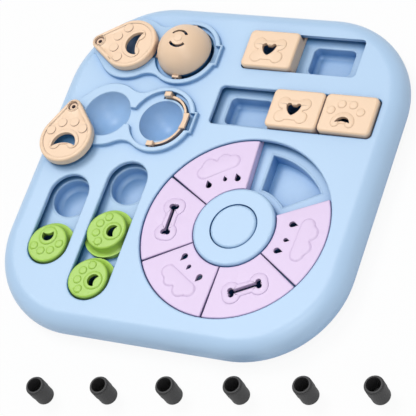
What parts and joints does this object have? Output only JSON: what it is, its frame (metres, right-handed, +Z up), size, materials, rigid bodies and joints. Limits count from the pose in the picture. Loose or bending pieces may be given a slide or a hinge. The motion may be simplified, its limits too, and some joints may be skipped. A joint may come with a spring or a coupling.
{
  "type": "dog puzzle feeder",
  "caption": "Square raised puzzle board for treats: sliding blocks and discs, a turning ring of segments round a press button, swivel covers, flip domes and rubber foot caps.",
  "frame": {"origin": "on the ring's turning axis, on the flat floor of the button's cup, at the level the board stands on", "axes": "+Z up, +X to the right and +Y to the back, seen with the ring at the front right"},
  "size_m": [0.3279, 0.3333, 0.0483],
  "materials": {
    "sky_blue_plastic": "moulded, fine matte",
    "peach_plastic": "moulded, fine matte",
    "lilac_plastic": "moulded, fine matte",
    "lime_plastic": "moulded, fine matte",
    "bellows_plastic": "blown, soft",
    "black_rubber": "moulded, dull",
    "screw_steel": "zinc plated"
  },
  "bodies": {
    "board": {"top_cover": "sky_blue_plastic", "bottom_tray": "sky_blue_plastic", "block_wells": "sky_blue_plastic", "disc_wells": "sky_blue_plastic", "ring_wells": "sky_blue_plastic", "hub_ring": "sky_blue_plastic", "squeaker_bellows": "bellows_plastic", "swivel_pin_back": "peach_plastic", "swivel_pin_front": "peach_plastic", "foot_cap_1": "black_rubber", "foot_cap_2": "black_rubber", "foot_cap_3": "black_rubber", "foot_cap_4": "black_rubber", "foot_cap_5": "black_rubber", "foot_cap_6": "black_rubber", "foot_screws": "screw_steel", "case_screws": "screw_steel", "hub_screws": "screw_steel"},
    "button": {"squeak_button": "sky_blue_plastic"},
    "slide_block_back": {"slide_block_back": "peach_plastic"},
    "slide_block_paw": {"slide_block_paw": "peach_plastic"},
    "slide_block_heart": {"slide_block_heart": "peach_plastic"},
    "slide_disc_left": {"slide_disc_left": "lime_plastic"},
    "slide_disc_lower": {"slide_disc_lower": "lime_plastic"},
    "slide_disc_upper": {"slide_disc_upper": "lime_plastic"},
    "ring_segment_2": {"ring_segment_2": "lilac_plastic"},
    "ring_segment_3": {"ring_segment_3": "lilac_plastic"},
    "ring_segment_4": {"ring_segment_4": "lilac_plastic"},
    "ring_segment_5": {"ring_segment_5": "lilac_plastic"},
    "ring_segment_1": {"ring_segment_1": "lilac_plastic"},
    "swivel_cover_back": {"swivel_cover_back": "peach_plastic"},
    "dome_lid_back": {"dome_lid_back": "peach_plastic"},
    "swivel_cover_front": {"swivel_cover_front": "peach_plastic"},
    "dome_lid_front": {"dome_lid_front": "peach_plastic"}
  },
  "joints": [
    {"name": "button_press", "type": "slide", "parent": "board", "child": "button", "axis": [0, 0, -1], "range_m": [0, 0.0025], "stiffness_N_per_m": 400, "springref_m": -0.001, "deforming": ["squeaker_bellows"]},
    {"name": "back_block_slide", "type": "slide", "parent": "board", "child": "slide_block_back", "axis": [1, 0, 0], "range_m": [0, 0.051]},
    {"name": "front_paw_block_slide", "type": "slide", "parent": "board", "child": "slide_block_paw", "axis": [-1, 0, 0], "range_m": [0, 0.046]},
    {"name": "front_heart_block_slide", "type": "slide", "parent": "board", "child": "slide_block_heart", "axis": [-1, 0, 0], "range_m": [0, 0.046]},
    {"name": "left_disc_slide", "type": "slide", "parent": "board", "child": "slide_disc_left", "axis": [0, 1, 0], "range_m": [0, 0.0435]},
    {"name": "right_lower_disc_slide", "type": "slide", "parent": "board", "child": "slide_disc_lower", "axis": [0, 1, 0], "range_m": [0, 0.043]},
    {"name": "right_upper_disc_slide", "type": "slide", "parent": "board", "child": "slide_disc_upper", "axis": [0, 1, 0], "range_m": [0, 0.043]},
    {"name": "ring_segment_2_turn", "type": "hinge", "parent": "board", "child": "ring_segment_2", "pos_m": [0, 0, 0.0165], "axis": [0, 0, 1], "continuous": true},
    {"name": "ring_segment_3_turn", "type": "hinge", "parent": "board", "child": "ring_segment_3", "pos_m": [0, 0, 0.0165], "axis": [0, 0, 1], "continuous": true},
    {"name": "ring_segment_4_turn", "type": "hinge", "parent": "board", "child": "ring_segment_4", "pos_m": [0, 0, 0.0165], "axis": [0, 0, 1], "continuous": true},
    {"name": "ring_segment_5_turn", "type": "hinge", "parent": "board", "child": "ring_segment_5", "pos_m": [0, 0, 0.0165], "axis": [0, 0, 1], "continuous": true},
    {"name": "ring_segment_1_turn", "type": "hinge", "parent": "ring_segment_2", "child": "ring_segment_1", "pos_m": [0, 0, 0.0165], "axis": [0, 0, 1], "range_deg": [-65, 0]},
    {"name": "swivel_cover_back_turn", "type": "hinge", "parent": "board", "child": "swivel_cover_back", "pos_m": [-0.1618, 0.1392, 0.028], "axis": [0, 0, 1], "range_deg": [-35, 80]},
    {"name": "dome_lid_back_flip", "type": "hinge", "parent": "board", "child": "dome_lid_back", "pos_m": [-0.0888, 0.1392, 0.0261], "axis": [0, 1, 0], "range_deg": [0, 175]},
    {"name": "swivel_cover_front_turn", "type": "hinge", "parent": "board", "child": "swivel_cover_front", "pos_m": [-0.1618, 0.0792, 0.028], "axis": [0, 0, 1], "range_deg": [0, 81.7]},
    {"name": "dome_lid_front_flip", "type": "hinge", "parent": "board", "child": "dome_lid_front", "pos_m": [-0.0888, 0.0792, 0.0261], "axis": [0, 1, 0], "range_deg": [-175, 0]}
  ],
  "couplings": [
    {"joint": "front_heart_block_slide", "follows": "front_paw_block_slide", "ratio": 1},
    {"joint": "right_upper_disc_slide", "follows": "right_lower_disc_slide", "ratio": 1},
    {"joint": "ring_segment_3_turn", "follows": "ring_segment_2_turn", "ratio": 1},
    {"joint": "ring_segment_4_turn", "follows": "ring_segment_2_turn", "ratio": 1},
    {"joint": "ring_segment_5_turn", "follows": "ring_segment_2_turn", "ratio": 1}
  ]
}
